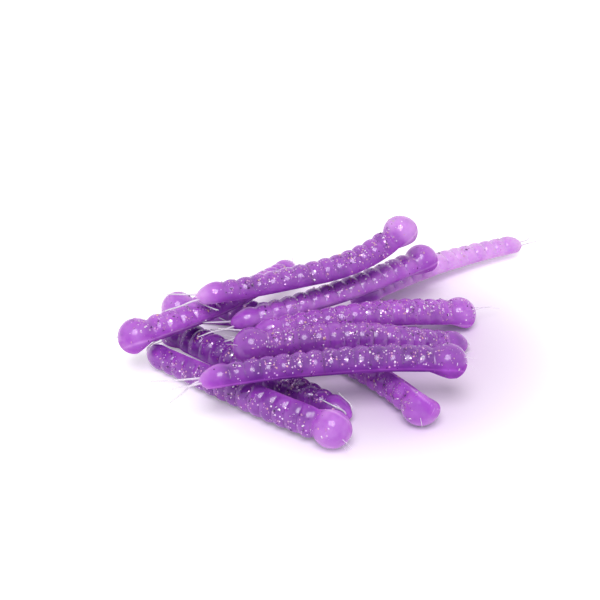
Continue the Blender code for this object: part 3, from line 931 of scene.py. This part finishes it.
def feeler_lines(spine, lie, rng):
    """Lines of a tail's feelers: each leaves the bead straight out and curves to its tip.

    A line is the curve of second degree from its root by a point behind the bead to its tip, with a
    slight sine wave across it that grows towards the tip.
    """
    share = np.linspace(0.0, 1.0, STRAND_ROWS)[:, None]
    point, along, right, _ = (part[0] for part in spine_frame(spine, np.array([BEAD_HALF_LENGTH / 2])))
    roll = math.radians(lie["roll"])
    up = np.array([0.0, 0.0, 1.0])
    lines = []
    for number, (behind, aside, above) in enumerate(FEELER_TIPS.get(lie["name"], PLAIN_TIPS)):
        hand = 1 if number % 2 else -1
        root = point + hand * FEELER_SPREAD * right
        tip = root - behind * along + aside * right + above * up
        middle = root - max(behind / 2, BEAD_HALF_LENGTH) * along + above / 2 * up
        line = root * (1 - share) ** 2 + middle * 2 * share * (1 - share) + tip * share**2
        phase = share * rng.uniform(*WAVE_TURNS) + rng.uniform(*WAVE_STARTS)
        wave = FEELER_WAVE * share * np.sin(phase)
        across = right * math.cos(roll + number) + up * math.sin(roll + number)
        lines.append(line + wave * across)
    return np.array(lines)


def add_feelers(lie, spine, rng, strand):
    """Thin tapering feelers on the tail bead."""
    lines = feeler_lines(spine, lie, rng)
    share = np.linspace(0.0, 1.0, STRAND_ROWS)
    radii = FEELER_ROOT_RADIUS + (FEELER_TIP_RADIUS - FEELER_ROOT_RADIUS) * share
    feelers = strands(lie["name"] + "_feelers", lines, np.tile(radii, (len(lines), 1)), strand)
    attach(feelers, owner(lie, "tail"))
    return feelers


def add_hairs(lie, spine, end, ring_rise, strand):
    """Fine hairs of flash on one end of a worm: straight lines that sag as the square of the length."""
    share = np.linspace(0.0, 1.0, STRAND_ROWS)[:, None]
    lines = []
    for worm, at, inward, angle, ahead, outward, around, length in HAIRS:
        if (worm, at) != (lie["name"], end):
            continue
        station = np.array([WORM_LENGTH - inward if end == "head" else inward])
        turn = np.radians([angle])
        point, along, out, tangent = (part[0] for part in out_of_skin(spine, lie, station, turn))
        radius = section_radius(lie, station, turn, ring_rise)[0]
        lean = ahead * along + outward * out + around * tangent
        lean = lean / np.linalg.norm(lean)
        root = point + HAIR_ROOT * radius * out
        sag = np.array([0.0, 0.0, HAIR_SAG * length])
        lines.append(root + length * share * lean - sag * share**2)
    if not lines:
        return []
    radii = np.tile(HAIR_RADIUS * (1 - HAIR_TAPER * share[:, 0]), (len(lines), 1))
    hairs = strands(lie["name"] + "_" + end + "_hairs", np.array(lines), radii, strand)
    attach(hairs, owner(lie, end))
    return [hairs]


def flake_places(lie, rng):
    """Stations and angles of a worm's flakes: in clumps, on ring middles and on the head."""
    own = look(lie)
    count = int(FLAKES * own["glitter"])
    middles = rng.uniform(TAIL_LENGTH, NECK_STATION, CLUMPS)
    clumped = middles[rng.integers(0, CLUMPS, count)] + rng.normal(0.0, CLUMP_LENGTH, count)
    ring = groove_station(rng.integers(0, RING_COUNT, count) + 0.5)
    even = ring + rng.normal(0.0, RING_SCATTER * RING_PITCH, count)
    stations = np.where(rng.random(count) < CLUMPED_SHARE, clumped, even)
    on_head = rng.random(count) < HEAD_SHARE
    stations = np.where(on_head, rng.uniform(NECK_STATION, WORM_LENGTH, count), stations)
    spread = np.where(on_head, HEAD_SPREAD, GLITTER_SPREAD)
    angles = np.radians(rng.normal(own["glitter_angle"], spread, count))
    inside = (stations > BARE_TIP) & (stations < WORM_LENGTH - BARE_TIP)
    return stations[inside], angles[inside]


def glitter(name, spine, lie, places, ring_rise, rng, material):
    """Flakes on the skin: thin plates with six sides, each turned and tilted at random on its place."""
    stations, angles = places
    count = len(stations)
    radius = section_radius(lie, stations, angles, ring_rise)
    point, along, out, around = out_of_skin(spine, lie, stations, angles)
    tilts = np.radians(rng.normal(0.0, FLAKE_TILT, (2, count)))
    ahead, aside = np.tan(np.clip(tilts, -STEEPEST_TILT, STEEPEST_TILT))[..., None]
    facing = out + ahead * along + aside * around
    facing = facing / np.linalg.norm(facing, axis=1, keepdims=True)
    side = np.cross(facing, along)
    side = side / np.linalg.norm(side, axis=1, keepdims=True)
    other = np.cross(facing, side)
    edge = np.arange(FLAKE_SIDES)
    corner = np.radians(edge * 360.0 / FLAKE_SIDES)[None, :] + rng.uniform(0.0, 1.0, count)[:, None]
    size = FLAKE_SMALLEST + (FLAKE_LARGEST - FLAKE_SMALLEST) * rng.random(count) ** SMALLNESS
    circle = np.cos(corner)[..., None] * side[:, None] + np.sin(corner)[..., None] * other[:, None]
    plate = size[:, None, None] * circle
    middle = (point + radius[:, None] * out)[:, None]
    half = FLAKE_THICKNESS / 2 * facing[:, None]
    points = np.concatenate([middle + plate + half, middle + plate - half], axis=1)
    after = (edge + 1) % FLAKE_SIDES
    walls = np.stack([edge + FLAKE_SIDES, after + FLAKE_SIDES, after, edge], axis=-1)
    caps = np.array([[0, 1, 2, 3], [0, 3, 4, 5], [9, 8, 7, 6], [11, 10, 9, 6]])
    first = (2 * FLAKE_SIDES * np.arange(count))[:, None, None]
    quads = (np.concatenate([walls, caps]) + first).reshape(-1, 4)
    none = np.empty((0, 3), int)
    pick = np.repeat(rng.random(count), 2 * FLAKE_SIDES)
    return mesh_object(name, points.reshape(-1, 3), quads, none, material, smooth=False, pick=pick)


def add_camera(shift):
    """Camera of the photograph: it looks along +Y and down on the heap, with its target off centre."""
    target = (np.array(CAMERA_TARGET) + shift) * MM
    elevation = math.radians(CAMERA_ELEVATION)
    back = np.array([0.0, -math.cos(elevation), math.sin(elevation)])
    data = bpy.data.cameras.new("camera")
    data.sensor_width = SENSOR_WIDTH
    data.lens = SENSOR_WIDTH * FOCAL_PIXELS / PICTURE_WIDTH
    data.shift_x = -(TARGET_PIXEL[0] - PICTURE_WIDTH / 2) / PICTURE_WIDTH
    data.shift_y = (TARGET_PIXEL[1] - PICTURE_WIDTH / 2) / PICTURE_WIDTH
    data.clip_start = NEAREST_SIGHT * MM
    camera = bpy.data.objects.new("camera", data)
    camera.location = target + back * CAMERA_DISTANCE * MM
    camera.rotation_euler = (math.radians(90 - CAMERA_ELEVATION), 0.0, 0.0)
    bpy.context.scene.collection.objects.link(camera)
    bpy.context.scene.camera = camera


def add_softbox(name, place, size, power):
    """Round soft lamp that faces the heap."""
    data = bpy.data.lights.new(name, "AREA")
    data.shape = "DISK"
    data.size = size
    data.energy = power
    lamp = bpy.data.objects.new(name, data)
    lamp.location = place
    lamp.rotation_euler = Vector(place).to_track_quat("Z", "Y").to_euler()
    bpy.context.scene.collection.objects.link(lamp)


def add_world(strength):
    """White surroundings: an even light on the heap, plain white to the eye and in the gloss."""
    world = bpy.data.worlds.new("studio")
    world.use_nodes = True
    tree = world.node_tree
    background = tree.nodes["Background"]
    background.inputs["Color"].default_value = WHITE
    brightness = tree.nodes.new("ShaderNodeMapRange")
    brightness.inputs["To Min"].default_value = strength
    brightness.inputs["To Max"].default_value = 1.0
    tree.links.new(seen_directly(tree), brightness.inputs["Value"])
    tree.links.new(brightness.outputs["Result"], background.inputs["Strength"])
    bpy.context.scene.world = world


def add_table(material):
    """Plain white table top."""
    corners = np.array([(-1.0, -1.0, 0.0), (1.0, -1.0, 0.0), (1.0, 1.0, 0.0), (-1.0, 1.0, 0.0)])
    quads = np.array([[0, 1, 2, 3]])
    table = mesh_object("table", TABLE_HALF_WIDTH * corners, quads, np.empty((0, 3), int), material)


bpy.context.scene.view_settings.view_transform = "Standard"
spines, shift = laid_heap()
add_camera(shift)
add_world(WORLD_STRENGTH)
add_softbox("key_softbox", KEY_PLACE, KEY_SIZE, KEY_POWER)
add_table(white_table())
colours = glitter_colours()
gel = violet_gel(colours)
flake = glitter_flake(colours)
strand = clear_strand()
for number, (lie, spine) in enumerate(zip(LIES, spines)):
    rng = np.random.default_rng(number)
    ring_rise = rng.uniform(-RING_UNEVENNESS, RING_UNEVENNESS, RING_COUNT)
    pieces = dress_worm(lie, spine, rng, ring_rise, gel, flake)
    pieces.append(add_feelers(lie, spine, rng, strand))
    for end in ("head", "tail"):
        pieces += add_hairs(lie, spine, end, ring_rise, strand)

bpy.context.view_layer.update()
